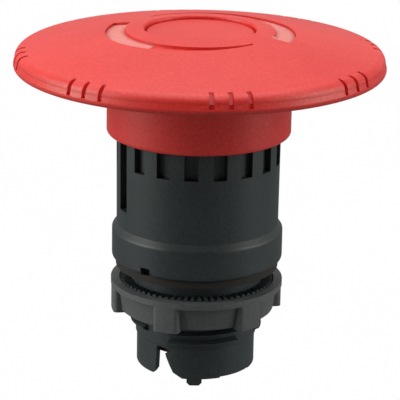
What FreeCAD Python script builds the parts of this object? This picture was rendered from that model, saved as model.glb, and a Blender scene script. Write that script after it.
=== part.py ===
import FreeCAD, Part
import math
import os
import Sketcher
from FreeCAD import Placement, Rotation, Vector

# Emergency stop button: the mushroom operator head for a 22 mm panel hole, standing upright.
# +Z points from the panel towards the palm disc. The origin is on the axis, at the gasket's underside.
# The front of the button faces -Y. A bearing is measured from the front, positive towards +X.

document = FreeCAD.newDocument("EmergencyStop")
sheet = document.addObject("Spreadsheet::Sheet", "Sizes")


class Length:
    """A length: the sheet expression that gives it, and its number for a sketch's first drawing."""

    def __init__(self, text, number):
        self.text = text
        self.number = number

    def __add__(self, other):
        other = as_length(other)
        return Length(f"({self.text} + {other.text})", self.number + other.number)

    def __sub__(self, other):
        other = as_length(other)
        return Length(f"({self.text} - {other.text})", self.number - other.number)

    def __mul__(self, factor):
        return Length(f"({self.text} * {factor:.9f})", self.number * factor)

    def __truediv__(self, other):
        other = as_length(other)
        return Length(f"({self.text} / {other.text})", self.number / other.number)

    def __neg__(self):
        return Length(f"(-{self.text})", -self.number)


def as_length(value):
    return value if isinstance(value, Length) else Length(f"({value})", value)


ZERO = as_length(0.0)
BITE = 0.1
OVERRUN = 1.0
sheet_rows = []


def size(name, number):
    """Writes one driving dimension into the sheet and gives it back as a Length."""
    sheet_rows.append(name)
    cell = f"B{len(sheet_rows)}"
    sheet.set(f"A{len(sheet_rows)}", name)
    sheet.set(cell, str(number))
    sheet.setAlias(cell, name)
    return Length(f"Sizes.{name}", number)


# Palm disc
head_radius = size("head_radius", 30.0)
head_low_z = size("head_low_z", 33.1)
lip_height = size("lip_height", 0.9)
rim_height = size("rim_height", 3.15)
rim_taper = size("rim_taper", 0.2)
rim_rounding = size("rim_rounding", 1.5)
dome_rise = size("dome_rise", 3.45)
dome_bend_radius = size("dome_bend_radius", 178.0)
disc_wall = size("disc_wall", 2.0)
rim_inner_rise = size("rim_inner_rise", 0.3)
hollow_drop = size("hollow_drop", 1.2)
hollow_chamfer = size("hollow_chamfer", 0.6)
rib_wall = size("rib_wall", 1.2)
rib_inset = size("rib_inset", 0.4)
skirt_radius = size("skirt_radius", 15.0)
skirt_wall = size("skirt_wall", 1.25)
skirt_low_z = size("skirt_low_z", 22.4)
hub_radius = size("hub_radius", 7.5)
hub_low_z = size("hub_low_z", 27.5)
hub_floor_z = size("hub_floor_z", 31.0)
hub_floor_wall = size("hub_floor_wall", 3.0)
inner_ceiling_z = size("inner_ceiling_z", 35.6)
notch_width = size("notch_width", 0.75)
notch_depth = size("notch_depth", 0.5)

# Cap in the middle of the disc
cap_radius = size("cap_radius", 8.75)
cap_gap = size("cap_gap", 0.25)
cap_edge_drop = size("cap_edge_drop", 0.65)
cap_wall = size("cap_wall", 1.5)
cap_crown = size("cap_crown", 0.15)

# Arrow recesses in the dome
arrow_inner_radius = size("arrow_inner_radius", 12.05)
arrow_outer_radius = size("arrow_outer_radius", 15.3)
arrow_middle_radius = size("arrow_middle_radius", 14.35)
arrow_tip_radius = size("arrow_tip_radius", 12.55)
arrow_depth = size("arrow_depth", 0.45)

# Sleeve with the bezel
sleeve_radius = size("sleeve_radius", 13.3)
sleeve_draft = size("sleeve_draft", 0.1)
sleeve_bore = size("sleeve_bore", 11.3)
sleeve_top_z = size("sleeve_top_z", 27.0)
shoulder_height = size("shoulder_height", 0.95)
bezel_radius = size("bezel_radius", 14.05)
bezel_top_z = size("bezel_top_z", 6.35)
window_low_z = size("window_low_z", 17.85)
window_width = size("window_width", 2.25)
window_depth = size("window_depth", 1.0)
slot_low_z = size("slot_low_z", 10.4)
slot_width = size("slot_width", 2.6)
bezel_notch_width = size("bezel_notch_width", 1.9)
bezel_notch_height = size("bezel_notch_height", 1.4)
bezel_notch_wall = size("bezel_notch_wall", 0.5)

# Gasket
gasket_radius = size("gasket_radius", 13.4)
gasket_thickness = size("gasket_thickness", 1.2)
gasket_gap = size("gasket_gap", 0.15)

# Threaded body
flange_wall = size("flange_wall", 4.4)
flange_radius = size("flange_radius", 12.1)
thread_radius = size("thread_radius", 10.9)
thread_pitch = size("thread_pitch", 1.5)
thread_depth = size("thread_depth", 0.9)
thread_top_z = size("thread_top_z", -3.2)
thread_low_z = size("thread_low_z", -11.7)
body_bore = size("body_bore", 8.6)
tail_radius = size("tail_radius", 9.8)
tail_low_z = size("tail_low_z", -17.2)
tail_lug_height = size("tail_lug_height", 1.0)
tail_slot_drop = size("tail_slot_drop", 0.35)
lug_width = size("lug_width", 2.5)
lug_chamfer = size("lug_chamfer", 0.5)
lug_shift = size("lug_shift", 0.1)
foot_step_width = size("foot_step_width", 6.7)
foot_step_height = size("foot_step_height", 0.3)
web_top_z = size("web_top_z", -3.0)
web_wall = size("web_wall", 2.0)
web_bore = size("web_bore", 5.0)
keyway_width = size("keyway_width", 3.0)
keyway_depth = size("keyway_depth", 0.5)
ring_keyway_width = size("ring_keyway_width", 2.4)
ring_keyway_depth = size("ring_keyway_depth", 0.6)

# Toothed ring and nut
ring_tip_z = size("ring_tip_z", -2.05)
ring_radius = size("ring_radius", 12.6)
ring_thickness = size("ring_thickness", 1.6)
tooth_height = size("tooth_height", 0.45)
tooth_tip_width = size("tooth_tip_width", 0.1)
nut_radius = size("nut_radius", 14.2)
nut_wall_radius = size("nut_wall_radius", 13.3)
nut_foot_radius = size("nut_foot_radius", 12.8)
nut_top_drop = size("nut_top_drop", 0.4)
nut_rim_height = size("nut_rim_height", 1.0)
nut_low_z = size("nut_low_z", -7.3)
nut_clearance = size("nut_clearance", 0.2)
lobe_width = size("lobe_width", 4.3)
lobe_rounding = size("lobe_rounding", 0.7)
lobe_drop = size("lobe_drop", 0.4)
ring_clearance = size("ring_clearance", 0.3)

# Stem and latch
stem_radius = size("stem_radius", 5.0)
stem_lower_radius = size("stem_lower_radius", 3.4)
stem_foot_radius = size("stem_foot_radius", 2.4)
stem_shoulder_z = size("stem_shoulder_z", -6.5)
stem_low_z = size("stem_low_z", -11.0)
stem_square = size("stem_square", 7.0)
stem_square_z = size("stem_square_z", 28.9)
cone_low_z = size("cone_low_z", 12.0)
cone_height = size("cone_height", 7.0)
collar_low_z = size("collar_low_z", 9.55)
collar_height = size("collar_height", 1.65)
collar_radius = size("collar_radius", 5.6)
latch_z = size("latch_z", 15.0)
plunger_radius = size("plunger_radius", 1.5)
plunger_length = size("plunger_length", 5.7)
plunger_bore = size("plunger_bore", 0.95)
plunger_bore_depth = size("plunger_bore_depth", 2.7)
latch_wire = size("latch_wire", 0.28)
holder_low_z = size("holder_low_z", 11.6)
holder_height = size("holder_height", 6.8)

# Seal, springs and small parts
running_clearance = size("running_clearance", 0.05)
seal_clearance = size("seal_clearance", 0.08)
moving_gap = size("moving_gap", 0.3)
seal_height = size("seal_height", 2.0)
retainer_height = size("retainer_height", 1.5)
retainer_bore = size("retainer_bore", 6.2)
seat_radius = size("seat_radius", 8.2)
seat_wall = size("seat_wall", 1.0)
spring_mean_radius = size("spring_mean_radius", 6.6)
spring_wire = size("spring_wire", 0.9)
guide_flange_radius = size("guide_flange_radius", 5.6)
guide_flange_wall = size("guide_flange_wall", 1.0)
oring_wire = size("oring_wire", 1.3)
screw_radius = size("screw_radius", 2.0)
screw_length = size("screw_length", 11.0)
screw_head_radius = size("screw_head_radius", 3.6)
screw_head_height = size("screw_head_height", 2.4)
washer_radius = size("washer_radius", 5.0)
washer_wall = size("washer_wall", 0.8)
clip_wall = size("clip_wall", 0.5)
clip_radius = size("clip_radius", 4.0)
clip_groove_depth = size("clip_groove_depth", 0.5)

# Contact pusher
pusher_top_z = size("pusher_top_z", -6.0)
pusher_low_z = size("pusher_low_z", -13.5)
pusher_wall = size("pusher_wall", 1.7)
pusher_hub_wall = size("pusher_hub_wall", 2.95)
key_gap = size("key_gap", 0.15)

# Rounded edges
skirt_rounding = size("skirt_rounding", 0.6)
lip_rounding = size("lip_rounding", 0.7)
well_rounding = size("well_rounding", 0.4)
cap_rounding = size("cap_rounding", 0.3)
screw_rounding = size("screw_rounding", 0.5)
bezel_low_rounding = size("bezel_low_rounding", 0.7)
bezel_top_rounding = size("bezel_top_rounding", 0.7)
gasket_rounding = size("gasket_rounding", 0.25)
tail_rounding = size("tail_rounding", 0.35)

document.recompute()

# Places that several pieces share
rim_radius = head_radius - rim_taper
rim_top_z = head_low_z + rim_height
dome_edge_z = rim_top_z + dome_rise
well_radius = cap_radius + cap_gap
well_floor_z = dome_edge_z - cap_edge_drop - cap_wall
screw_floor_z = hub_floor_z + hub_floor_wall
skirt_bore = skirt_radius - skirt_wall
flange_top_z = gasket_thickness + flange_wall
thread_root = thread_radius - thread_depth
web_low_z = web_top_z - web_wall
ring_low_z = ring_tip_z - ring_thickness
nut_top_z = ring_tip_z - nut_top_drop
cone_slope = (stem_radius - stem_lower_radius) / cone_height
seal_low_z = holder_low_z + holder_height
retainer_low_z = seal_low_z + seal_height
seat_top_z = collar_low_z - running_clearance
pusher_hub_top_z = stem_shoulder_z - running_clearance
pusher_hub_low_z = pusher_hub_top_z - pusher_hub_wall
clip_top_z = pusher_hub_low_z - seal_clearance


def new_body(name):
    body = document.addObject("PartDesign::Body", name)
    body.Label = name
    return body


def origin_item(body, role):
    return next(item for item in body.Origin.OriginFeatures if item.Role == role)


def place_sketch(body, name, plane, lift, turn):
    """A sketch on one of the body's own planes, lifted along Z and turned about Z."""
    sketch = body.newObject("Sketcher::SketchObject", name)
    sketch.AttachmentSupport = [(origin_item(body, plane), "")]
    sketch.MapMode = "FlatFace"
    upright = plane != "XY_Plane"
    spin_axis = Vector(0, 1, 0) if upright else Vector(0, 0, 1)
    base = Vector(0, lift.number, 0) if upright else Vector(0, 0, lift.number)
    sketch.AttachmentOffset = Placement(base, Rotation(spin_axis, turn))
    sketch.setExpression("AttachmentOffset.Base.y" if upright else "AttachmentOffset.Base.z", lift.text)
    return sketch


def bent_run(start, end, radius):
    """An arc between two points. A positive radius bulges to the left of the way it runs."""
    along = end - start
    left = Vector(-along.y, along.x, 0).normalize()
    height = math.sqrt(radius * radius - along.Length ** 2 / 4)
    centre = (start + end) * 0.5 - left * math.copysign(height, radius)
    if radius > 0:
        start, end = end, start
    angles = [math.atan2(point.y - centre.y, point.x - centre.x) for point in (start, end)]
    circle = Part.Circle(centre, Vector(0, 0, 1), abs(radius))
    return Part.ArcOfCircle(circle, angles[0], angles[1])


def outline(body, name, plane, corners, bends=None, lift=ZERO, turn=0.0):
    """A closed outline whose corners, and the radii of its bent runs, follow the sheet."""
    bends = bends or {}
    corners = [(as_length(across), as_length(up)) for across, up in corners]
    sketch = place_sketch(body, name, plane, lift, turn)
    points = [Vector(across.number, up.number, 0) for across, up in corners]
    count = len(points)
    ends = []
    for index in range(count):
        start, end = points[index], points[(index + 1) % count]
        if index in bends:
            sketch.addGeometry(bent_run(start, end, bends[index].number), False)
            ends.append((2, 1) if bends[index].number > 0 else (1, 2))
        else:
            sketch.addGeometry(Part.LineSegment(start, end), False)
            ends.append((1, 2))
    for index in range(count):
        following = (index + 1) % count
        joint = Sketcher.Constraint("Coincident", index, ends[index][1], following, ends[following][0])
        sketch.addConstraint(joint)
    for index, (across, up) in enumerate(corners):
        for kind, length in (("DistanceX", across), ("DistanceY", up)):
            pin = Sketcher.Constraint(kind, -1, 1, index, ends[index][0], length.number)
            row = sketch.addConstraint(pin)
            sketch.setExpression(f"Constraints[{row}]", length.text)
    for index, radius in bends.items():
        row = sketch.addConstraint(Sketcher.Constraint("Radius", index, abs(radius.number)))
        sketch.setExpression(f"Constraints[{row}]", radius.text if radius.number > 0 else f"-{radius.text}")
    return sketch


def revolve(body, name, corners, bends=None, cut=False):
    """Turns an outline of (radius, height) corners round the body's Z axis."""
    sketch = outline(body, name + "_outline", "XZ_Plane", corners, bends)
    feature = body.newObject("PartDesign::Groove" if cut else "PartDesign::Revolution", name)
    feature.Profile = (sketch, [""])
    feature.ReferenceAxis = (sketch, ["V_Axis"])
    feature.Angle = 360
    return settled(body, feature, cut)


def settled(body, feature, cut):
    """Recomputes the body and stops if the feature did not add, or take away, material."""
    before = volume_before(body, feature)
    document.recompute()
    after = body.Shape.Volume
    grew = after > before + 1e-6
    shrank = after < before - 1e-6
    if cut and not shrank or not cut and not grew:
        raise RuntimeError(f"{feature.Name} changed nothing in {body.Label}")
    return feature


def volume_before(body, feature):
    base = feature.BaseFeature
    return base.Shape.Volume if base else 0.0


def extrude(body, name, sketch, length, cut=False, symmetric=False, reverse=False):
    """Pads or pockets a sketch. A plain pad goes along the sketch's normal, and so does a pocket here."""
    feature = body.newObject("PartDesign::Pocket" if cut else "PartDesign::Pad", name)
    feature.Profile = (sketch, [""])
    feature.Length = length.number
    feature.setExpression("Length", length.text)
    feature.Reversed = cut != reverse
    if symmetric:
        feature.SideType = "Symmetric"
    return settled(body, feature, cut)


def ring_pattern(body, name, originals, count, full_angle=360.0):
    """Repeats features round the Z axis."""
    pattern = body.newObject("PartDesign::PolarPattern", name)
    pattern.Originals = originals
    pattern.Axis = (origin_item(body, "Z_Axis"), [""])
    pattern.Angle = full_angle
    pattern.Occurrences = count
    body.Tip = pattern
    document.recompute()
    return pattern


def edges_where(shape, test):
    return [f"Edge{number}" for number, edge in enumerate(shape.Edges, 1) if test(edge)]


def on_ring(edge, radius, height):
    """Whether an edge lies on the circle of this radius and height round the Z axis."""
    points = [edge.valueAt(edge.FirstParameter), edge.valueAt(edge.LastParameter)]
    points.append(edge.valueAt((edge.FirstParameter + edge.LastParameter) / 2))
    return all(abs(math.hypot(p.x, p.y) - radius) < 0.02 and abs(p.z - height) < 0.02 for p in points)


def round_rings(body, name, radius, rings):
    """Fillets the circular edges at these (radius, height) places."""
    shape = body.Shape
    wanted = [(as_length(across).number, as_length(up).number) for across, up in rings]
    names = edges_where(shape, lambda edge: any(on_ring(edge, across, up) for across, up in wanted))
    return fillet(body, name, radius, names)


def fillet(body, name, radius, names):
    if not names:
        raise RuntimeError(f"{name} found no edge in {body.Label}")
    feature = body.newObject("PartDesign::Fillet", name)
    feature.Base = (feature.BaseFeature or body.Tip, names)
    feature.Radius = radius.number
    feature.setExpression("Radius", radius.text)
    body.Tip = feature
    document.recompute()
    return feature


def bearing(degrees):
    """The turn about Z that points a sketch's X at this bearing from the front."""
    return degrees - 90.0


def block_sketch(body, name, low_x, high_x, width, lift, turn):
    """A rectangle from low_x to high_x out from the axis, centred on its own X."""
    half = width / 2.0
    corners = [(low_x, -half), (high_x, -half), (high_x, half), (low_x, half)]
    return outline(body, name, "XY_Plane", corners, lift=lift, turn=turn)


def coil(name, mean_radius, wire, low_z, height, turns):
    """A helical spring whose wire is round, standing on low_z."""
    body = new_body(name)
    sketch = place_sketch(body, name + "_wire", "XZ_Plane", ZERO, 0.0)
    start_z = low_z + wire / 2.0
    centre = Vector(mean_radius.number, start_z.number, 0)
    sketch.addGeometry(Part.Circle(centre, Vector(0, 0, 1), wire.number / 2), False)
    for kind, length in (("DistanceX", mean_radius), ("DistanceY", start_z)):
        row = sketch.addConstraint(Sketcher.Constraint(kind, -1, 1, 0, 3, length.number))
        sketch.setExpression(f"Constraints[{row}]", length.text)
    row = sketch.addConstraint(Sketcher.Constraint("Diameter", 0, wire.number))
    sketch.setExpression(f"Constraints[{row}]", wire.text)
    document.recompute()
    helix = body.newObject("PartDesign::AdditiveHelix", name + "_coil")
    helix.Profile = (sketch, [""])
    helix.ReferenceAxis = (sketch, ["V_Axis"])
    helix.Mode = 2
    rise = height - wire
    helix.Height = rise.number
    helix.setExpression("Height", rise.text)
    helix.Turns = turns
    document.recompute()
    return body


# ---------------------------------------------------------------- palm disc, cap and arrows
RIB_COUNT = 8
NOTCH_GROUPS = 8
NOTCH_GROUP_BEARING = 9.3
NOTCH_STEP = 5.75


def dome_height(radius, drop):
    """The dome's height at a radius, less a drop, from its one arc. All in millimetres."""
    start = Vector(rim_radius.number - rim_rounding.number, rim_top_z.number, 0)
    end = Vector(well_radius.number, dome_edge_z.number, 0)
    along = end - start
    side = Vector(-along.y, along.x, 0).normalize()
    bend = dome_bend_radius.number
    centre = (start + end) * 0.5 + side * math.sqrt(bend ** 2 - along.Length ** 2 / 4)
    return centre.y + math.sqrt(bend ** 2 - (radius - centre.x) ** 2) - drop


def mushroom_head_solid():
    body = new_body("mushroom_disc")
    wall_outside = skirt_radius - skirt_wall
    corners = [
        (well_radius, dome_edge_z),
        (rim_radius - rim_rounding, rim_top_z),
        (rim_radius, rim_top_z - rim_rounding),
        (head_radius, head_low_z + lip_height),
        (head_radius, head_low_z),
        (head_radius - disc_wall, head_low_z),
        (head_radius - disc_wall, rim_top_z - disc_wall + rim_inner_rise),
        (skirt_radius + disc_wall * 0.5, dome_edge_z - disc_wall - hollow_drop),
        (skirt_radius, dome_edge_z - disc_wall - hollow_drop - hollow_chamfer),
        (skirt_radius, skirt_low_z),
        (wall_outside, skirt_low_z),
        (wall_outside, inner_ceiling_z),
        (hub_radius, inner_ceiling_z),
        (hub_radius, hub_low_z),
        (stem_radius + oring_wire, hub_low_z),
        (stem_radius + oring_wire, stem_square_z),
        (screw_radius + moving_gap, stem_square_z),
        (screw_radius + moving_gap, screw_floor_z),
        (washer_radius + moving_gap, screw_floor_z),
        (washer_radius + moving_gap, well_floor_z),
        (well_radius, well_floor_z),
    ]
    revolve(body, "mushroom_disc_turned", corners, {0: dome_bend_radius, 1: rim_rounding})
    round_rings(body, "skirt_rounding", skirt_rounding, [(skirt_radius, skirt_low_z)])
    round_rings(body, "lip_rounding", lip_rounding, [(head_radius, head_low_z)])
    round_rings(body, "well_rounding", well_rounding, [(well_radius, dome_edge_z)])
    cut_stem_socket(body)
    add_ribs(body)
    cut_notches(body)
    return body


def cut_stem_socket(body):
    """The square socket that the stem's square end drives."""
    socket = stem_square / 2.0 + running_clearance
    corners = [(-socket, -socket), (socket, -socket), (socket, socket), (-socket, socket)]
    sketch = outline(body, "stem_socket_square", "XY_Plane", corners, lift=stem_square_z)
    extrude(body, "stem_socket", sketch, hub_floor_z - stem_square_z, cut=True)


def add_ribs(body):
    low_z = head_low_z + rib_inset
    inner, outer = skirt_radius - skirt_wall * 0.5, head_radius - disc_wall * 0.7
    high_z = rim_top_z - disc_wall * 0.6
    corners = [(inner, low_z), (outer, low_z), (outer, high_z), (inner, high_z + dome_rise * 0.55)]
    sketch = outline(body, "rib_outline", "XZ_Plane", corners, turn=bearing(22.5))
    rib = extrude(body, "rib", sketch, rib_wall, symmetric=True)
    ring_pattern(body, "ribs", [rib], RIB_COUNT)


def cut_notches(body):
    """Grip notches: groups of three short grooves across the rim band, above the plain lip."""
    low_z = head_low_z + lip_height
    high_z = rim_top_z + rim_rounding * 0.6
    end_radius = rim_radius - rim_rounding - notch_depth
    outside = head_radius + OVERRUN
    corners = [
        (head_radius - notch_depth, low_z),
        (outside, low_z),
        (outside, high_z),
        (end_radius, high_z),
        (end_radius, rim_top_z + rim_rounding * 0.3),
        (end_radius + rim_rounding * 0.25, rim_top_z - rim_rounding * 0.17),
        (rim_radius - notch_depth, rim_top_z - rim_rounding),
    ]
    notches = []
    for number in (-1, 0, 1):
        turn = bearing(NOTCH_GROUP_BEARING + number * NOTCH_STEP)
        sketch = outline(body, f"notch_outline_{number + 2}", "XZ_Plane", corners, turn=turn)
        name = f"notch_{number + 2}"
        notches.append(extrude(body, name, sketch, notch_width, cut=True, symmetric=True))
    ring_pattern(body, "notches", notches, NOTCH_GROUPS)


def arrow_cutter():
    """Both curved arrows, as thin solids that follow the dome and stand in it by their depth."""
    def at(radius, degrees):
        angle = math.radians(degrees)
        return Vector(radius * math.cos(angle), radius * math.sin(angle), 0)

    inner, outer = arrow_inner_radius.number, arrow_outer_radius.number
    middle, tip = arrow_middle_radius.number, arrow_tip_radius.number
    barb = inner + 0.35
    edges = [
        Part.Arc(at(outer, 157), at(outer, 180), at(outer, 203)).toShape(),
        Part.Arc(at(outer, 203), at(middle, 240), at(tip, 312)).toShape(),
        Part.LineSegment(at(tip, 312), at(inner, 312)).toShape(),
        Part.Arc(at(inner, 312), at(inner, 240), at(inner, 164)).toShape(),
        Part.LineSegment(at(inner, 164), at(barb, 157)).toShape(),
        Part.LineSegment(at(barb, 157), at(outer, 157)).toShape(),
    ]
    prism = Part.Face(Part.Wire(edges)).extrude(Vector(0, 0, dome_edge_z.number + 5))
    depth = arrow_depth.number
    reach = [inner - 1.0, (inner + outer) / 2, outer + 1.0]
    floor = [Vector(radius, 0, dome_height(radius, depth)) for radius in reach]
    top_z = dome_edge_z.number + 2
    sides = [floor[-1], Vector(reach[-1], 0, top_z), Vector(reach[0], 0, top_z), floor[0]]
    profile = [Part.Arc(*floor).toShape()]
    profile += [Part.LineSegment(a, b).toShape() for a, b in zip(sides, sides[1:])]
    ring = Part.Face(Part.Wire(profile)).revolve(Vector(), Vector(0, 0, 1), 360)
    arrow = prism.common(ring)
    opposite = arrow.copy()
    opposite.rotate(Vector(), Vector(0, 0, 1), 180)
    cutter = document.addObject("Part::Feature", "arrow_cutter")
    cutter.Shape = Part.makeCompound([arrow, opposite])
    return cutter


def make_mushroom_head():
    head = document.addObject("Part::Cut", "mushroom_head")
    head.Base = mushroom_head_solid()
    head.Tool = arrow_cutter()
    head.Label = "mushroom_head"
    document.recompute()
    return head


def make_centre_cap():
    body = new_body("centre_cap")
    edge_z = well_floor_z + cap_wall
    corners = [(ZERO, edge_z + cap_crown), (cap_radius, edge_z), (cap_radius, well_floor_z), (ZERO, well_floor_z)]
    bend = (cap_radius * 1.0) * (cap_radius.number / (2 * cap_crown.number))
    revolve(body, "cap_turned", corners, {0: bend})
    round_rings(body, "cap_rounding", cap_rounding, [(cap_radius, edge_z)])
    return body


def make_head_screw():
    body = new_body("head_screw")
    head_low = screw_floor_z + washer_wall
    corners = [
        (ZERO, head_low - screw_length),
        (screw_radius - running_clearance, head_low - screw_length),
        (screw_radius - running_clearance, head_low),
        (screw_head_radius, head_low),
        (screw_head_radius, head_low + screw_head_height),
        (ZERO, head_low + screw_head_height),
    ]
    revolve(body, "screw_turned", corners)
    round_rings(body, "screw_rounding", screw_rounding, [(screw_head_radius, head_low + screw_head_height)])
    socket_radius = screw_radius * 0.8
    hexagon = [
        (socket_radius * math.cos(math.radians(60 * k)), socket_radius * math.sin(math.radians(60 * k)))
        for k in range(6)
    ]
    socket_depth = screw_head_height * 0.6
    sketch = outline(body, "hex_socket_outline", "XY_Plane", hexagon,
                     lift=head_low + screw_head_height - socket_depth)
    extrude(body, "hex_socket", sketch, socket_depth, cut=True)
    return body


def washer(name, inner, outer, low_z, high_z):
    body = new_body(name)
    revolve(body, name + "_turned", [(inner, low_z), (outer, low_z), (outer, high_z), (inner, high_z)])
    return body


# ---------------------------------------------------------------- stem and what is on it
def make_stem():
    body = new_body("stem")
    tap_low_z = screw_floor_z + washer_wall - screw_length - 1.0
    clip_low_z = clip_top_z - clip_wall
    groove = stem_foot_radius - clip_groove_depth
    corners = [
        (ZERO, stem_low_z),
        (stem_foot_radius, stem_low_z),
        (stem_foot_radius, clip_low_z),
        (groove, clip_low_z),
        (groove, clip_top_z),
        (stem_foot_radius, clip_top_z),
        (stem_foot_radius, stem_shoulder_z),
        (stem_lower_radius, stem_shoulder_z),
        (stem_lower_radius, collar_low_z),
        (collar_radius, collar_low_z),
        (collar_radius, collar_low_z + collar_height),
        (stem_lower_radius, collar_low_z + collar_height),
        (stem_lower_radius, cone_low_z),
        (stem_radius, cone_low_z + cone_height),
        (stem_radius, stem_square_z),
        (ZERO, stem_square_z),
    ]
    revolve(body, "stem_turned", corners)
    half = stem_square / 2.0
    square = [(-half, -half), (half, -half), (half, half), (-half, half)]
    sketch = outline(body, "stem_square_outline", "XY_Plane", square, lift=stem_square_z)
    extrude(body, "stem_square_end", sketch, hub_floor_z - stem_square_z)
    hole = [(ZERO, tap_low_z), (screw_radius, tap_low_z), (screw_radius, hub_floor_z), (ZERO, hub_floor_z)]
    revolve(body, "screw_hole", hole, cut=True)
    return body


def make_stem_o_ring():
    ring = document.addObject("Part::Torus", "stem_o_ring")
    ring.Label = "stem_o_ring"
    mean = stem_radius + oring_wire / 2.0
    ring.setExpression("Radius1", mean.text)
    ring.setExpression("Radius2", (oring_wire / 2.0).text)
    middle_z = (hub_low_z + stem_square_z) / 2.0
    ring.Placement = Placement(Vector(0, 0, middle_z.number), Rotation())
    ring.setExpression("Placement.Base.z", middle_z.text)
    return ring


def make_stem_circlip():
    """A spring-steel E-clip: a flat ring with a mouth."""
    groove = stem_foot_radius - clip_groove_depth
    body = washer("stem_circlip", groove, clip_radius, clip_top_z - clip_wall, clip_top_z)
    lift = clip_top_z - clip_wall
    sketch = block_sketch(body, "clip_mouth_outline", ZERO, clip_radius * 1.5, groove * 1.7, lift, bearing(180))
    extrude(body, "clip_mouth", sketch, clip_wall, cut=True)
    return body


# ---------------------------------------------------------------- housing
WINDOW_COUNT = 18
WINDOW_BEARING = -4.6
SLOT_PLACE = -3
BEZEL_NOTCH_BEARING = -36.0


def make_upper_sleeve():
    body = new_body("upper_sleeve")
    counterbore = flange_radius + running_clearance
    corners = [
        (sleeve_bore, sleeve_top_z),
        (sleeve_radius + sleeve_draft, sleeve_top_z),
        (sleeve_radius, bezel_top_z + shoulder_height),
        (bezel_radius, bezel_top_z),
        (bezel_radius, gasket_thickness),
        (counterbore, gasket_thickness),
        (counterbore, flange_top_z),
        (sleeve_bore, flange_top_z),
    ]
    revolve(body, "sleeve_turned", corners)
    round_rings(body, "bezel_low_rounding", bezel_low_rounding, [(bezel_radius, gasket_thickness)])
    round_rings(body, "bezel_top_rounding", bezel_top_rounding, [(bezel_radius, bezel_top_z)])
    outside = bezel_radius + OVERRUN
    step = 360.0 / WINDOW_COUNT
    start = bearing(WINDOW_BEARING + (SLOT_PLACE + 1) * step)
    depth_line = sleeve_radius - window_depth
    sketch = block_sketch(body, "window_outline", depth_line, outside, window_width, window_low_z, start)
    window = extrude(body, "window", sketch, sleeve_top_z - window_low_z, cut=True)
    ring_pattern(body, "windows", [window], WINDOW_COUNT - 1, 360.0 - 2 * step)
    slot_turn = bearing(WINDOW_BEARING + SLOT_PLACE * step)
    sketch = block_sketch(body, "slot_outline", sleeve_bore - 1.0, outside, slot_width, slot_low_z, slot_turn)
    extrude(body, "guide_slot", sketch, sleeve_top_z - slot_low_z, cut=True)
    low = counterbore + bezel_notch_wall
    sketch = block_sketch(body, "bezel_notch_outline", low, outside, bezel_notch_width, gasket_thickness,
                          bearing(BEZEL_NOTCH_BEARING))
    extrude(body, "bezel_notch", sketch, bezel_notch_height, cut=True)
    return body


def make_panel_gasket():
    inner = thread_radius + gasket_gap
    body = washer("panel_gasket", inner, gasket_radius, ZERO, gasket_thickness)
    round_rings(body, "gasket_rounding", gasket_rounding, [(gasket_radius, gasket_thickness)])
    return body


THREAD_COLUMNS = ((-52.0, -25.0), (40.0, 75.0))
RING_KEY_BEARING = 141.5
THREAD_START_BEARING = -50.0
TAIL_SLOT_BEARING = -31.0
FOOT_STEP_BEARING = 45.0


def make_threaded_body():
    body = new_body("threaded_body")
    corners = [
        (body_bore, flange_top_z),
        (flange_radius, flange_top_z),
        (flange_radius, gasket_thickness),
        (thread_radius, gasket_thickness),
        (thread_radius, thread_top_z + 0.6),
        (thread_root, thread_top_z),
        (thread_root, thread_low_z),
        (tail_radius, thread_low_z - 0.2),
        (tail_radius, tail_low_z),
        (body_bore, tail_low_z),
        (body_bore, web_low_z),
        (web_bore, web_low_z),
        (web_bore, web_top_z),
        (body_bore, web_top_z),
    ]
    revolve(body, "body_turned", corners)
    round_rings(body, "tail_rounding", tail_rounding, [(tail_radius, tail_low_z)])
    add_thread(body)
    for number, (start, end) in enumerate(THREAD_COLUMNS, 1):
        cut_thread_column(body, f"column_{number}", start, end)
    cut_tail(body)
    cut_keyways(body)
    return body


def add_thread(body):
    """One helical ridge, wound up from the lower end of the thread."""
    # it starts inside the left thread column, which takes its raw end away
    root = thread_root - BITE
    start_z = thread_low_z + 0.1
    crest_low, crest_high = start_z + thread_pitch * 0.36, start_z + thread_pitch * 0.52
    corners = [
        (root, start_z),
        (thread_radius, crest_low),
        (thread_radius, crest_high),
        (root, start_z + thread_pitch * 0.88),
    ]
    sketch = outline(body, "thread_outline", "XZ_Plane", corners, turn=bearing(THREAD_START_BEARING))
    document.recompute()
    helix = body.newObject("PartDesign::AdditiveHelix", "thread")
    helix.Profile = (sketch, [""])
    helix.ReferenceAxis = (sketch, ["V_Axis"])
    helix.Mode = 0
    helix.Pitch = thread_pitch.number
    helix.setExpression("Pitch", thread_pitch.text)
    rise = thread_top_z - thread_low_z - thread_pitch * 0.8
    helix.Height = rise.number
    helix.setExpression("Height", rise.text)
    settled(body, helix, False)


def cut_thread_column(body, name, start, end):
    """Takes the thread off between two bearings, and opposite them too."""
    half = math.radians((end - start) / 2)
    outside = thread_radius + 2.0
    sketch_turn = bearing((start + end) / 2)
    corners = [
        (thread_root * math.cos(half), -(thread_root * math.sin(half))),
        (outside * math.cos(half), -(outside * math.sin(half))),
        (outside * math.cos(half), outside * math.sin(half)),
        (thread_root * math.cos(half), thread_root * math.sin(half)),
    ]
    sketch = outline(body, name + "_outline", "XY_Plane", corners, {3: thread_root}, thread_low_z - 0.5,
                     sketch_turn)
    column = extrude(body, name, sketch, thread_top_z - thread_low_z + 0.4, cut=True)
    ring_pattern(body, name + "_pair", [column], 2)


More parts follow.
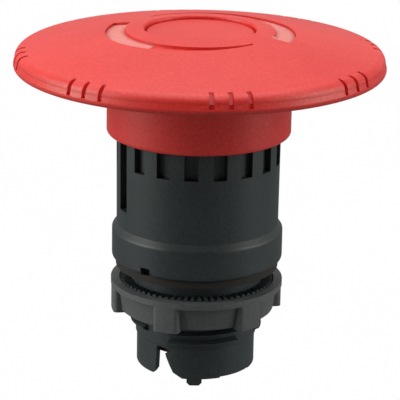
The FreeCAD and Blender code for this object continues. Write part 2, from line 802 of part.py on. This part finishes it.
def cut_tail(body):
    """The two bayonet slots with their hooked side, a shallow step in the foot and the coding lug."""
    top = thread_low_z - tail_slot_drop
    low = tail_low_z - 0.2
    corners = [
        (-1.55, top),
        (1.15, top - 0.2),
        (1.0, top - 0.7),
        (0.15, top - 1.05),
        (0.3, top - 1.55),
        (1.05, tail_low_z + 2.0),
        (1.6, tail_low_z + 1.0),
        (3.0, tail_low_z + 0.2),
        (3.0, low),
        (-2.6, low),
        (-1.8, tail_low_z + 0.9),
    ]
    # the sketch faces outwards at its bearing, so its X runs round the tail
    sketch = outline(body, "tail_slot_outline", "XZ_Plane", corners, turn=TAIL_SLOT_BEARING)
    slot = extrude(body, "tail_slot", sketch, tail_radius + 2.0, cut=True)
    ring_pattern(body, "tail_slots", [slot], 2)
    inner, outer = body_bore - OVERRUN, tail_radius + OVERRUN
    sketch = block_sketch(body, "foot_step_outline", inner, outer, foot_step_width, low,
                          bearing(FOOT_STEP_BEARING))
    extrude(body, "foot_step", sketch, foot_step_height + 0.2, cut=True)
    add_lug(body)


def add_lug(body):
    """The coding lug under the front, with its lower corners taken off."""
    inner, outer = body_bore + 0.25, tail_radius - BITE
    low = tail_low_z - tail_lug_height
    root_z = tail_low_z + 0.6
    left, right = -(lug_width / 2.0) - lug_shift, lug_width / 2.0 - lug_shift
    corners = [
        (left, root_z),
        (left, low + lug_chamfer),
        (left + lug_chamfer, low),
        (right - lug_chamfer, low),
        (right, low + lug_chamfer),
        (right, root_z),
    ]
    sketch = outline(body, "tail_lug_outline", "XZ_Plane", corners)
    sketch.setExpression("AttachmentOffset.Base.z", inner.text)
    extrude(body, "tail_lug", sketch, outer - inner)


def cut_keyways(body):
    """Two keyways in the bore for the pusher, and one outside for the toothed ring."""
    sketch = block_sketch(body, "keyway_outline", body_bore - 1.0, body_bore + keyway_depth, keyway_width,
                          tail_low_z, 0.0)
    keyway = extrude(body, "keyway", sketch, web_low_z - tail_low_z, cut=True)
    ring_pattern(body, "keyways", [keyway], 2)
    floor = thread_root - ring_keyway_depth
    sketch = block_sketch(body, "ring_keyway_outline", floor, thread_radius + 1.0, ring_keyway_width,
                          thread_low_z, bearing(RING_KEY_BEARING))
    extrude(body, "ring_keyway", sketch, -thread_low_z, cut=True)


def make_stem_guide():
    body = new_body("stem_guide")
    bore = stem_lower_radius + running_clearance
    corners = [
        (bore, web_low_z),
        (web_bore, web_low_z),
        (web_bore, web_top_z),
        (guide_flange_radius, web_top_z),
        (guide_flange_radius, web_top_z + guide_flange_wall),
        (bore, web_top_z + guide_flange_wall),
    ]
    revolve(body, "guide_turned", corners)
    return body


def round_sketch(body, name, plane, radius, height=ZERO, lift=ZERO):
    """A circle centred on the plane's upright axis, with its place and radius driven."""
    sketch = place_sketch(body, name, plane, lift, 0.0)
    sketch.addGeometry(Part.Circle(Vector(0, height.number, 0), Vector(0, 0, 1), radius.number), False)
    for kind, length in (("DistanceX", ZERO), ("DistanceY", height)):
        row = sketch.addConstraint(Sketcher.Constraint(kind, -1, 1, 0, 3, length.number))
        sketch.setExpression(f"Constraints[{row}]", length.text)
    row = sketch.addConstraint(Sketcher.Constraint("Radius", 0, radius.number))
    sketch.setExpression(f"Constraints[{row}]", radius.text)
    return sketch


def make_latch_holder():
    inner = stem_radius + moving_gap
    body = washer("latch_holder", inner, sleeve_bore, holder_low_z, holder_low_z + holder_height)
    bore = plunger_radius + running_clearance
    sketch = round_sketch(body, "plunger_bore_outline", "YZ_Plane", bore, latch_z)
    extrude(body, "plunger_bores", sketch, sleeve_bore * 2.2, cut=True, symmetric=True)
    return body


def plunger_tip():
    """How far from the axis a plunger's round tip starts, so that it just clears the stem's cone."""
    rise = latch_z - cone_low_z
    cone_at_tip = stem_lower_radius.number + cone_slope.number * rise.number
    lean = math.atan(cone_slope.number)
    reach = (plunger_radius.number + running_clearance.number) / math.cos(lean)
    return cone_at_tip + reach - plunger_radius.number


def radial_placement(distance, side):
    """Lays a piece that was made along +Z outwards along +X or -X at the latch's height."""
    turn = Rotation(Vector(0, 1, 0), 90.0 * side)
    return Placement(Vector(side * distance, 0, latch_z.number), turn)


def make_latch_plunger(name, side):
    body = new_body(name)
    corners = [
        (ZERO, ZERO),
        (plunger_radius, plunger_radius),
        (plunger_radius, plunger_length),
        (plunger_bore, plunger_length),
        (plunger_bore, plunger_length - plunger_bore_depth),
        (ZERO, plunger_length - plunger_bore_depth),
    ]
    revolve(body, name + "_turned", corners, {0: -plunger_radius})
    body.Placement = radial_placement(plunger_tip(), side)
    return body


def make_latch_spring(name, side):
    start = plunger_tip() + plunger_length.number - plunger_bore_depth.number
    length = sleeve_bore - start
    mean = plunger_bore - latch_wire / 2.0 - seal_clearance * 2.0
    body = coil(name, mean, latch_wire, ZERO, length, 5)
    body.Placement = radial_placement(start, side)
    return body


def make_wiper_seal():
    body = new_body("wiper_seal")
    lip = stem_radius + seal_clearance
    top = seal_low_z + seal_height
    corners = [
        (lip, seal_low_z + seal_height * 0.55),
        (lip + 0.9, seal_low_z),
        (sleeve_bore, seal_low_z),
        (sleeve_bore, top),
        (lip + 2.4, top),
        (lip + 1.4, seal_low_z + seal_height * 0.6),
        (lip + 0.5, top),
        (lip, top),
    ]
    revolve(body, "seal_turned", corners)
    return body


# ---------------------------------------------------------------- contact pusher
def make_contact_pusher():
    body = new_body("contact_pusher")
    outside = body_bore - moving_gap
    inside = outside - pusher_wall
    bore = stem_foot_radius + running_clearance
    corners = [
        (bore, pusher_hub_top_z),
        (stem_lower_radius + moving_gap, pusher_hub_top_z),
        (stem_lower_radius + moving_gap, pusher_top_z),
        (outside, pusher_top_z),
        (outside, pusher_low_z),
        (inside, pusher_low_z),
        (inside, pusher_hub_low_z),
        (bore, pusher_hub_low_z),
    ]
    revolve(body, "pusher_turned", corners)
    key_width = keyway_width - key_gap * 2.0
    sketch = block_sketch(body, "pusher_key_outline", inside + 0.2, body_bore + keyway_depth - key_gap * 1.6,
                          key_width, pusher_low_z, 0.0)
    key = extrude(body, "pusher_key", sketch, pusher_top_z - pusher_low_z)
    ring_pattern(body, "pusher_keys", [key], 2)
    window_height = (pusher_hub_low_z - pusher_low_z) * 0.6
    sketch = block_sketch(body, "pusher_window_outline", inside - 1.0, outside + 1.0, body_bore * 0.6,
                          pusher_low_z, 90.0)
    window = extrude(body, "pusher_window", sketch, window_height, cut=True)
    ring_pattern(body, "pusher_windows", [window], 2)
    return body


# ---------------------------------------------------------------- toothed ring and fixing nut
TOOTH_COUNT = 72
NUT_LOBES = 6
NUT_LOBE_BEARING = -20.7


def make_toothed_ring():
    inner = thread_radius + ring_clearance
    body = washer("toothed_ring", inner, ring_radius, ring_low_z, ring_tip_z)
    half = ring_radius * (math.pi / TOOTH_COUNT) - tooth_tip_width / 2.0
    valley = ring_tip_z - tooth_height
    # each gap's cutter stops just above the tips and starts just inside the bore, so no two of them meet
    above = ring_tip_z + tooth_height * 0.05
    corners = [(ZERO, valley), (half * 1.05, above), (-(half * 1.05), above)]
    sketch = outline(body, "tooth_gap_outline", "YZ_Plane", corners)
    start = inner - BITE
    sketch.setExpression("AttachmentOffset.Base.z", start.text)
    gap = extrude(body, "tooth_gap", sketch, ring_radius - start + 1.0, cut=True)
    ring_pattern(body, "tooth_gaps", [gap], TOOTH_COUNT)
    tab_inner = thread_root - ring_keyway_depth + ring_clearance
    tab_width = ring_keyway_width - key_gap * 2.0
    sketch = block_sketch(body, "ring_tab_outline", tab_inner, inner + 0.4, tab_width, ring_low_z,
                          bearing(RING_KEY_BEARING))
    extrude(body, "ring_tab", sketch, ring_thickness - tooth_height)
    return body


def make_fixing_nut():
    body = new_body("fixing_nut")
    bore = thread_radius + nut_clearance
    pocket_radius = ring_radius + 0.2
    pocket_floor = ring_low_z - running_clearance
    wall_top_z = nut_top_z - nut_rim_height
    corners = [
        (bore, pocket_floor),
        (pocket_radius, pocket_floor),
        (pocket_radius, nut_top_z),
        (nut_radius, nut_top_z),
        (nut_radius, wall_top_z),
        (nut_wall_radius, wall_top_z - 0.3),
        (nut_foot_radius, nut_low_z),
        (bore, nut_low_z),
    ]
    revolve(body, "nut_turned", corners)
    side = lobe_width / 2.0
    shoulder = side - lobe_rounding
    face = nut_radius - 0.15
    corners = [
        (pocket_radius - 0.6, -side),
        (face - lobe_rounding, -side),
        (face, -shoulder),
        (face, shoulder),
        (face - lobe_rounding, side),
        (pocket_radius - 0.6, side),
    ]
    bends = {1: -lobe_rounding, 2: -nut_radius, 3: -lobe_rounding}
    sketch = outline(body, "lobe_outline", "XY_Plane", corners, bends, nut_low_z - lobe_drop,
                     bearing(NUT_LOBE_BEARING))
    lobe = extrude(body, "lobe", sketch, wall_top_z - nut_low_z + lobe_drop + 0.2)
    ring_pattern(body, "lobes", [lobe], NUT_LOBES)
    # the lobes' roots reach over the ring's pocket, so the pocket is bored out again after them
    sketch = round_sketch(body, "ring_pocket_outline", "XY_Plane", pocket_radius, lift=pocket_floor)
    extrude(body, "ring_pocket", sketch, nut_top_z - pocket_floor + BITE, cut=True)
    return body


pieces = [
    make_mushroom_head(),
    make_centre_cap(),
    make_head_screw(),
    washer("screw_washer", screw_radius + seal_clearance, washer_radius, screw_floor_z,
           screw_floor_z + washer_wall),
    make_stem(),
    make_stem_o_ring(),
    make_stem_circlip(),
    make_upper_sleeve(),
    make_panel_gasket(),
    make_threaded_body(),
    make_stem_guide(),
    make_latch_holder(),
    make_latch_plunger("latch_plunger_right", 1),
    make_latch_plunger("latch_plunger_left", -1),
    make_latch_spring("latch_spring_right", 1),
    make_latch_spring("latch_spring_left", -1),
    make_wiper_seal(),
    washer("seal_retainer", retainer_bore, sleeve_bore, retainer_low_z, retainer_low_z + retainer_height),
    washer("spring_seat", stem_lower_radius + seal_clearance, seat_radius, seat_top_z - seat_wall, seat_top_z),
    coil("return_spring", spring_mean_radius, spring_wire, web_top_z, seat_top_z - seat_wall - web_top_z, 5),
    make_contact_pusher(),
    make_toothed_ring(),
    make_fixing_nut(),
]

document.recompute()
for item in document.Objects:
    if "Invalid" in item.State or "Error" in item.State:
        raise RuntimeError(f"{item.Name} failed: {item.State}")
for piece in pieces:
    shape = piece.Shape
    if shape.isNull() or not shape.isValid() or not shape.Solids:
        raise RuntimeError(f"{piece.Label} has no valid solid")

os.makedirs("parts", exist_ok=True)
for piece in pieces:
    piece.Shape.exportStep(f"parts/{piece.Label}.step")
    box = piece.Shape.BoundBox
    print(f"{piece.Label:22s} solids {len(piece.Shape.Solids)} volume {piece.Shape.Volume:9.2f} "
          f"z {box.ZMin:7.2f} to {box.ZMax:7.2f}")
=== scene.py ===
import math

import bmesh
import bpy
from mathutils import Matrix, Vector


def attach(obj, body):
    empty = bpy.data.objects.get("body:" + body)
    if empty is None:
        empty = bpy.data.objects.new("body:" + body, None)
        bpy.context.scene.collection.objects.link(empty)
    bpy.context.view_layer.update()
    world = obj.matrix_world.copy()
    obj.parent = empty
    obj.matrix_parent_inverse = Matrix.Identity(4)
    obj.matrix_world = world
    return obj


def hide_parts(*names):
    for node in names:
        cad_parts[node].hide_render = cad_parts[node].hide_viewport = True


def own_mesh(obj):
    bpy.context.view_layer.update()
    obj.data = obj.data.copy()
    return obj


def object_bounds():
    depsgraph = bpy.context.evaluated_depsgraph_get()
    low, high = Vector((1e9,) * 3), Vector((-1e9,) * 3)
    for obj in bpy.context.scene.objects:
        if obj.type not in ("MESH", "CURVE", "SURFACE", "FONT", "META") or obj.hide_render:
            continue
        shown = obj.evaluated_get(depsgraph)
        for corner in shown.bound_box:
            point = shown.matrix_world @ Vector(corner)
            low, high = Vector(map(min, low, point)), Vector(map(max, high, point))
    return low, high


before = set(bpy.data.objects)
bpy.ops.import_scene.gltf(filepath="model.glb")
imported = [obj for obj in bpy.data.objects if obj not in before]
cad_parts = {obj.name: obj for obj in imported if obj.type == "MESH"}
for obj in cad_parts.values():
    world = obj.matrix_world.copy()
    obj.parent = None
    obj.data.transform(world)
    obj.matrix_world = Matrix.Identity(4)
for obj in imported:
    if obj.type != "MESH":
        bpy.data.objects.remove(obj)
cad_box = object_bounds()


# The floor and the camera. The button stands upright on its tail on a white light table, and is seen from
# a little above through a long lens, so its round parts show as shallow ellipses.
MM = 0.001
CAMERA_DISTANCE = 350 * MM
CAMERA_PITCH = math.radians(16.5)
CAMERA_TILT = math.radians(17.62)
CAMERA_YAW = math.radians(-0.065)
CAMERA_ROLL = math.radians(0.98)
AIM_HEIGHT = 17.85 * MM
LENS_MM = 192.9
SENSOR_MM = 36.0
CLIP_END = 20.0
TABLE_SIZE = 3.0
TABLE_MOTTLE = 40.0
TABLE_SHADE = 0.99
TABLE_GLOW = 0.22


def linear(code):
    """An sRGB hex colour as linear values."""
    parts = [int(code[place:place + 2], 16) / 255 for place in (0, 2, 4)]
    parts = [part / 12.92 if part <= 0.04045 else ((part + 0.055) / 1.055) ** 2.4 for part in parts]
    return (*parts, 1.0)


def add(tree, kind, settings=None, links=None):
    """Adds a node. A setting is an attribute or an input's value, and a link feeds an input."""
    node = tree.nodes.new(kind)
    for name, value in (settings or {}).items():
        if hasattr(node, name):
            setattr(node, name, value)
        else:
            node.inputs[name].default_value = value
    for name, socket in (links or {}).items():
        tree.links.new(socket, node.inputs[name])
    return node


def new_material(name):
    """An empty material, its node tree and its shader."""
    material = bpy.data.materials.new(name)
    material.use_nodes = True
    tree = material.node_tree
    return material, tree, tree.nodes["Principled BSDF"]


def finished(piece_mesh, name, material):
    """An object at the origin for a finished bmesh, with its material."""
    mesh = bpy.data.meshes.new(name)
    piece_mesh.to_mesh(mesh)
    piece_mesh.free()
    mesh.materials.append(material)
    piece = bpy.data.objects.new(name, mesh)
    bpy.context.scene.collection.objects.link(piece)
    return piece


floor_white, tree = new_material("white_light_table")[:2]
mottle = add(tree, "ShaderNodeTexNoise", {"Scale": TABLE_MOTTLE, "Detail": 2.0},
             {"Vector": add(tree, "ShaderNodeTexCoord").outputs["Object"]})
glow = add(tree, "ShaderNodeMapRange", {"To Min": TABLE_SHADE, "To Max": 1.0},
           {"Value": mottle.outputs["Fac"]})
lit = add(tree, "ShaderNodeEmission", {}, {"Strength": glow.outputs["Result"]})
faint = add(tree, "ShaderNodeEmission", {"Strength": TABLE_GLOW})
camera_ray = add(tree, "ShaderNodeLightPath").outputs["Is Camera Ray"]
table_light = add(tree, "ShaderNodeMixShader", {}, {"Fac": camera_ray})
tree.links.new(faint.outputs[0], table_light.inputs[1])
tree.links.new(lit.outputs[0], table_light.inputs[2])
tree.links.new(table_light.outputs[0], tree.nodes["Material Output"].inputs["Surface"])

floor_mesh = bmesh.new()
bmesh.ops.create_grid(floor_mesh, x_segments=1, y_segments=1, size=TABLE_SIZE,
                      matrix=Matrix.Translation((0, 0, cad_box[0][2])))
table = finished(floor_mesh, "table", floor_white)

lens = bpy.data.cameras.new("long_lens")
lens.sensor_width = SENSOR_MM
lens.lens = LENS_MM
lens.clip_end = CLIP_END
camera = bpy.data.objects.new("camera", lens)
bpy.context.scene.collection.objects.link(camera)
camera.matrix_world = (
    Matrix.Translation((0, -CAMERA_DISTANCE * math.cos(CAMERA_PITCH),
                        AIM_HEIGHT + CAMERA_DISTANCE * math.sin(CAMERA_PITCH)))
    @ Matrix.Rotation(CAMERA_YAW, 4, "Z")
    @ Matrix.Rotation(math.pi / 2 - CAMERA_TILT, 4, "X")
    @ Matrix.Rotation(CAMERA_ROLL, 4, "Z")
)
bpy.context.scene.camera = camera


# The studio light. Two tall softboxes stand left and right of the button and a wide one hangs over it, so
# the round black parts are light along both sides and dark in the middle, and the disc's top is even.
SIDE_PANEL = (0.4, 0.7)
TOP_PANEL = (1.5, 1.5)
SIDE_TINT = "FAFFF6"


def softbox(name, place, aim, panel, watts, tint):
    light = bpy.data.lights.new(name, "AREA")
    light.shape = "RECTANGLE"
    light.size, light.size_y = panel
    light.energy = watts
    light.color = linear(tint)[:3]
    lamp = bpy.data.objects.new(name, light)
    bpy.context.scene.collection.objects.link(lamp)
    away = Vector(place) - Vector(aim)
    lamp.matrix_world = Matrix.Translation(place) @ away.to_track_quat("Z", "Y").to_matrix().to_4x4()


softbox("softbox_left", (-0.60, -0.12, 0.12), (0, 0, 0.01), SIDE_PANEL, 4.9, SIDE_TINT)
softbox("softbox_right", (0.60, -0.12, 0.12), (0, 0, 0.01), SIDE_PANEL, 3.4, SIDE_TINT)
softbox("softbox_top", (-0.05, 0.05, 1.10), (0, 0, 0.03), TOP_PANEL, 13.6, "FFFFFF")

# the camera sees a white backdrop, while the button is lit by a pale sweep behind it and a dim room in front
world = bpy.data.worlds.new("white_studio")
world.use_nodes = True
tree = world.node_tree
backdrop = tree.nodes["Background"]
backdrop.inputs["Color"].default_value = linear("FFFFFF")
backdrop.inputs["Strength"].default_value = 1.0
way = add(tree, "ShaderNodeSeparateXYZ", {}, {"Vector": add(tree, "ShaderNodeTexCoord").outputs["Generated"]})
sweep = add(tree, "ShaderNodeMapRange", {"From Min": -0.6, "From Max": 0.8, "To Min": 0.03, "To Max": 0.5},
            {"Value": way.outputs["Y"]})
room = add(tree, "ShaderNodeBackground", {"Color": linear("FFFFFF")}, {"Strength": sweep.outputs["Result"]})
camera_ray = add(tree, "ShaderNodeLightPath").outputs["Is Camera Ray"]
seen = add(tree, "ShaderNodeMixShader", {}, {"Fac": camera_ray})
tree.links.new(room.outputs[0], seen.inputs[1])
tree.links.new(backdrop.outputs[0], seen.inputs[2])
tree.links.new(seen.outputs[0], tree.nodes["World Output"].inputs["Surface"])
bpy.context.scene.world = world
bpy.context.scene.view_settings.view_transform = "Standard"


def surface_place(tree):
    return add(tree, "ShaderNodeTexCoord").outputs["Object"]


def grain(tree, place, size_mm, detail=2.0):
    """A noise whose features are this many millimetres across."""
    settings = {"Scale": 1.0 / (size_mm * MM), "Detail": detail}
    return add(tree, "ShaderNodeTexNoise", settings, {"Vector": place})


def tint_between(tree, factor, low, high, dark, light):
    """A colour ramp between two hex colours, over part of a factor's range."""
    ramp = add(tree, "ShaderNodeValToRGB", {}, {"Fac": factor})
    ramp.color_ramp.elements[0].position = low
    ramp.color_ramp.elements[1].position = high
    ramp.color_ramp.elements[0].color = linear(dark)
    ramp.color_ramp.elements[1].color = linear(light)
    return ramp.outputs["Color"]


def spread(tree, factor, low, high):
    """A factor mapped to a range, such as a roughness."""
    mapped = add(tree, "ShaderNodeMapRange", {"To Min": low, "To Max": high}, {"Value": factor})
    return mapped.outputs["Result"]


def raised(tree, height, depth_mm):
    """A bump from a height factor, as deep as the real relief."""
    bump = add(tree, "ShaderNodeBump", {"Distance": depth_mm * MM, "Strength": 1.0}, {"Height": height})
    return bump.outputs["Normal"]


PLASTIC_INDEX = 1.5
FLOW_MM = 14.0
HANDLING_MM = 4.0


def moulded_plastic(name, dark, light, rough_low, rough_high, texture_mm, relief_mm):
    """Moulded plastic: pigment flow, an eroded mould's fine grain, and a bloom of handling on the gloss."""
    material, tree, shader = new_material(name)
    place = surface_place(tree)
    flow = grain(tree, place, FLOW_MM, 3.0)
    fine = grain(tree, place, texture_mm, 3.0)
    handling = grain(tree, place, HANDLING_MM, 5.0)
    shade = add(tree, "ShaderNodeMix", {"data_type": "FLOAT", "Factor": 0.6},
                {"A": flow.outputs["Fac"], "B": fine.outputs["Fac"]})
    colour = tint_between(tree, shade.outputs["Result"], 0.38, 0.62, dark, light)
    tree.links.new(colour, shader.inputs["Base Color"])
    tree.links.new(spread(tree, handling.outputs["Fac"], rough_low, rough_high), shader.inputs["Roughness"])
    tree.links.new(raised(tree, fine.outputs["Fac"], relief_mm), shader.inputs["Normal"])
    shader.inputs["IOR"].default_value = PLASTIC_INDEX
    return material


def metal(name, dark, light, rough_low, rough_high, ridge_mm, relief_mm):
    """Turned or drawn metal: fine rings left by the tool, and a slight change of shade."""
    material, tree, shader = new_material(name)
    place = surface_place(tree)
    rings = add(tree, "ShaderNodeTexWave", {"wave_type": "BANDS", "bands_direction": "Z", "Distortion": 0.6,
                                            "Scale": 0.3 / (ridge_mm * MM)}, {"Vector": place})
    shade = grain(tree, place, 3.0, 4.0)
    colour = tint_between(tree, shade.outputs["Fac"], 0.35, 0.7, dark, light)
    tree.links.new(colour, shader.inputs["Base Color"])
    tree.links.new(spread(tree, shade.outputs["Fac"], rough_low, rough_high), shader.inputs["Roughness"])
    tree.links.new(raised(tree, rings.outputs["Fac"], relief_mm), shader.inputs["Normal"])
    shader.inputs["Metallic"].default_value = 1.0
    return material


def dress(node, material):
    """Gives a carried-over part its material."""
    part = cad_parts[node]
    part.data.materials.clear()
    part.data.materials.append(material)


# The palm disc and its cap. Injection-moulded polycarbonate blend in signal red, semi-gloss, with a fine
# grain on the dome that breaks up reflections.
signal_red = moulded_plastic("signal_red_polycarbonate", "CF2924", "E03A35", 0.38, 0.48, 0.45, 0.012)
dress("mushroom_head", signal_red)
dress("centre_cap", signal_red)

# The release arrows. Two curved arrows are sunk in the dome, and a pale pink pad lies on the
# floor of the wide end of each: a painted reflection of the white backdrop on the glossy recess floor.
ARROW_START = math.radians(157)
ARROW_BEND = math.radians(203)
ARROW_MIDDLE = math.radians(240)
ARROW_END = math.radians(312)
ARROW_INNER = 12.05 * MM
ARROW_OUTER = 15.3 * MM
ARROW_MIDDLE_RADIUS = 14.35 * MM
ARROW_TIP = 12.55 * MM
ARROW_MARGIN = 0.08 * MM
ARROW_STEPS = 32
REFLECTION_PAD_DEPTH = 0.05 * MM
REFLECTION_PAD_END = math.radians(235)
REFLECTION_PAD_LIFT = 0.01 * MM
REFLECTION_PAD_CUTS = 3
ABOVE_DISC = 100 * MM


def polar(radius, angle):
    return Vector((radius * math.cos(angle), radius * math.sin(angle)))


def circle_through(first, second, third):
    """The centre and radius of the circle through three points."""
    a, b = second - first, third - first
    twice = 2 * (a.x * b.y - a.y * b.x)
    centre = first + Vector((b.y * a.length_squared - a.y * b.length_squared,
                             a.x * b.length_squared - b.x * a.length_squared)) / twice
    return centre, (first - centre).length


def arrow_outer_edge(angle):
    """The arrow's outer radius at an angle: level along its head, then closing in to its tail."""
    if angle <= ARROW_BEND:
        return ARROW_OUTER
    centre, radius = circle_through(polar(ARROW_OUTER, ARROW_BEND), polar(ARROW_MIDDLE_RADIUS, ARROW_MIDDLE),
                                    polar(ARROW_TIP, ARROW_END))
    way = polar(1.0, angle)
    along = way.dot(centre)
    return along + math.sqrt(radius ** 2 - centre.length_squared + along ** 2)


def arrow_reflection_pad(name, turn):
    """A thin pad of painted reflection: a radial line spun along the arrow, then dropped on the recess's
    floor.
    """
    pad = bmesh.new()
    ends = [pad.verts.new((*polar(radius, ARROW_START), 0)) for radius in (ARROW_INNER, ARROW_OUTER)]
    line = pad.edges.new(ends)
    bmesh.ops.subdivide_edges(pad, edges=[line], cuts=REFLECTION_PAD_CUTS)
    bmesh.ops.spin(pad, geom=pad.verts[:] + pad.edges[:], axis=(0, 0, 1), cent=(0, 0, 0), steps=ARROW_STEPS,
                   angle=REFLECTION_PAD_END - ARROW_START, use_duplicate=False)
    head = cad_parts["mushroom_head"]
    for vertex in pad.verts:
        angle = math.atan2(vertex.co.y, vertex.co.x) % math.tau
        share = (vertex.co.to_2d().length - ARROW_INNER) / (ARROW_OUTER - ARROW_INNER)
        inside = ARROW_INNER + ARROW_MARGIN
        radius = inside + share * (arrow_outer_edge(angle) - ARROW_MARGIN - inside)
        margin_angle = ARROW_MARGIN / ARROW_OUTER
        angle = min(max(angle, ARROW_START + margin_angle), REFLECTION_PAD_END - margin_angle) + turn
        place = polar(radius, angle)
        hit, floor_point, _, _ = head.ray_cast((place.x, place.y, ABOVE_DISC), (0, 0, -1))
        vertex.co = (place.x, place.y, floor_point.z + REFLECTION_PAD_LIFT)
    bmesh.ops.recalc_face_normals(pad, faces=pad.faces[:])
    if sum(face.normal.z for face in pad.faces) < 0:
        bmesh.ops.reverse_faces(pad, faces=pad.faces[:])
    lifted = bmesh.ops.extrude_face_region(pad, geom=pad.faces[:])
    top = [item for item in lifted["geom"] if isinstance(item, bmesh.types.BMVert)]
    bmesh.ops.translate(pad, verts=top, vec=(0, 0, REFLECTION_PAD_DEPTH))
    for face in pad.faces:
        face.smooth = True
    bmesh.ops.recalc_face_normals(pad, faces=pad.faces[:])
    piece = finished(pad, name, arrow_painted_reflection)
    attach(piece, "head")


# pale pink painted reflection, standing in for the gloss seen on the arrows' recess floors
arrow_painted_reflection = moulded_plastic("pale_painted_reflection", "D8746D", "E0857E", 0.45, 0.58, 0.6, 0.003)
arrow_reflection_pad("arrow_painted_reflection_left", 0.0)
arrow_reflection_pad("arrow_painted_reflection_right", math.pi)

# The sleeve, body, nut and ring. Glass-filled polyamide, black with a grey bloom, finely eroded so that it
# looks satin rather than glossy.
black_polyamide = moulded_plastic("black_glass_filled_polyamide", "23292C", "30373A", 0.42, 0.54, 0.4, 0.010)
nut_polyamide = moulded_plastic("grey_black_polyamide", "4B4D4F", "585A5C", 0.5, 0.62, 0.4, 0.010)
for node in ("upper_sleeve", "threaded_body", "seal_retainer"):
    dress(node, black_polyamide)
dress("fixing_nut", nut_polyamide)
ring_polyamide = moulded_plastic("satin_black_polyamide", "343A3D", "42494C", 0.30, 0.40, 0.4, 0.004)
dress("toothed_ring", ring_polyamide)

# The rubber parts. Nitrile gasket, stem ring and wiper, matt, with a slight brown bloom.
nitrile = moulded_plastic("nitrile_rubber", "1A1612", "25201B", 0.7, 0.85, 0.3, 0.006)
for node in ("panel_gasket", "stem_o_ring", "wiper_seal"):
    dress(node, nitrile)

# The stem and the latch plungers. Turned free-cutting brass.
turned_brass = metal("turned_brass", "B08D4C", "C9A660", 0.22, 0.34, 0.15, 0.003)
for node in ("stem", "latch_plunger_right", "latch_plunger_left"):
    dress(node, turned_brass)

# The screw, washers, clip and springs. Zinc-plated and drawn steel.
zinc_steel = metal("zinc_plated_steel", "9DA0A3", "B9BCBF", 0.28, 0.4, 0.2, 0.002)
spring_wire = metal("drawn_spring_wire", "85888B", "A5A8AB", 0.25, 0.35, 0.1, 0.002)
for node in ("head_screw", "screw_washer", "spring_seat"):
    dress(node, zinc_steel)
dress("stem_circlip", spring_wire)


def closing_spring(node):
    """A spring's coil copied into a piece of its own on the housing, in place of its carried-over part."""
    coil = bmesh.new()
    coil.from_mesh(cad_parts[node].data)
    piece = finished(coil, node + "_coil", spring_wire)
    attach(piece, "housing")
    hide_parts(node)
    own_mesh(piece)


closing_spring("return_spring")
closing_spring("latch_spring_right")
closing_spring("latch_spring_left")

# The inner mouldings. Acetal guide, latch holder and contact pusher, smooth and dark.
dark_acetal = moulded_plastic("dark_acetal", "2E2F31", "37383A", 0.32, 0.42, 0.4, 0.002)
for node in ("stem_guide", "latch_holder", "contact_pusher"):
    dress(node, dark_acetal)
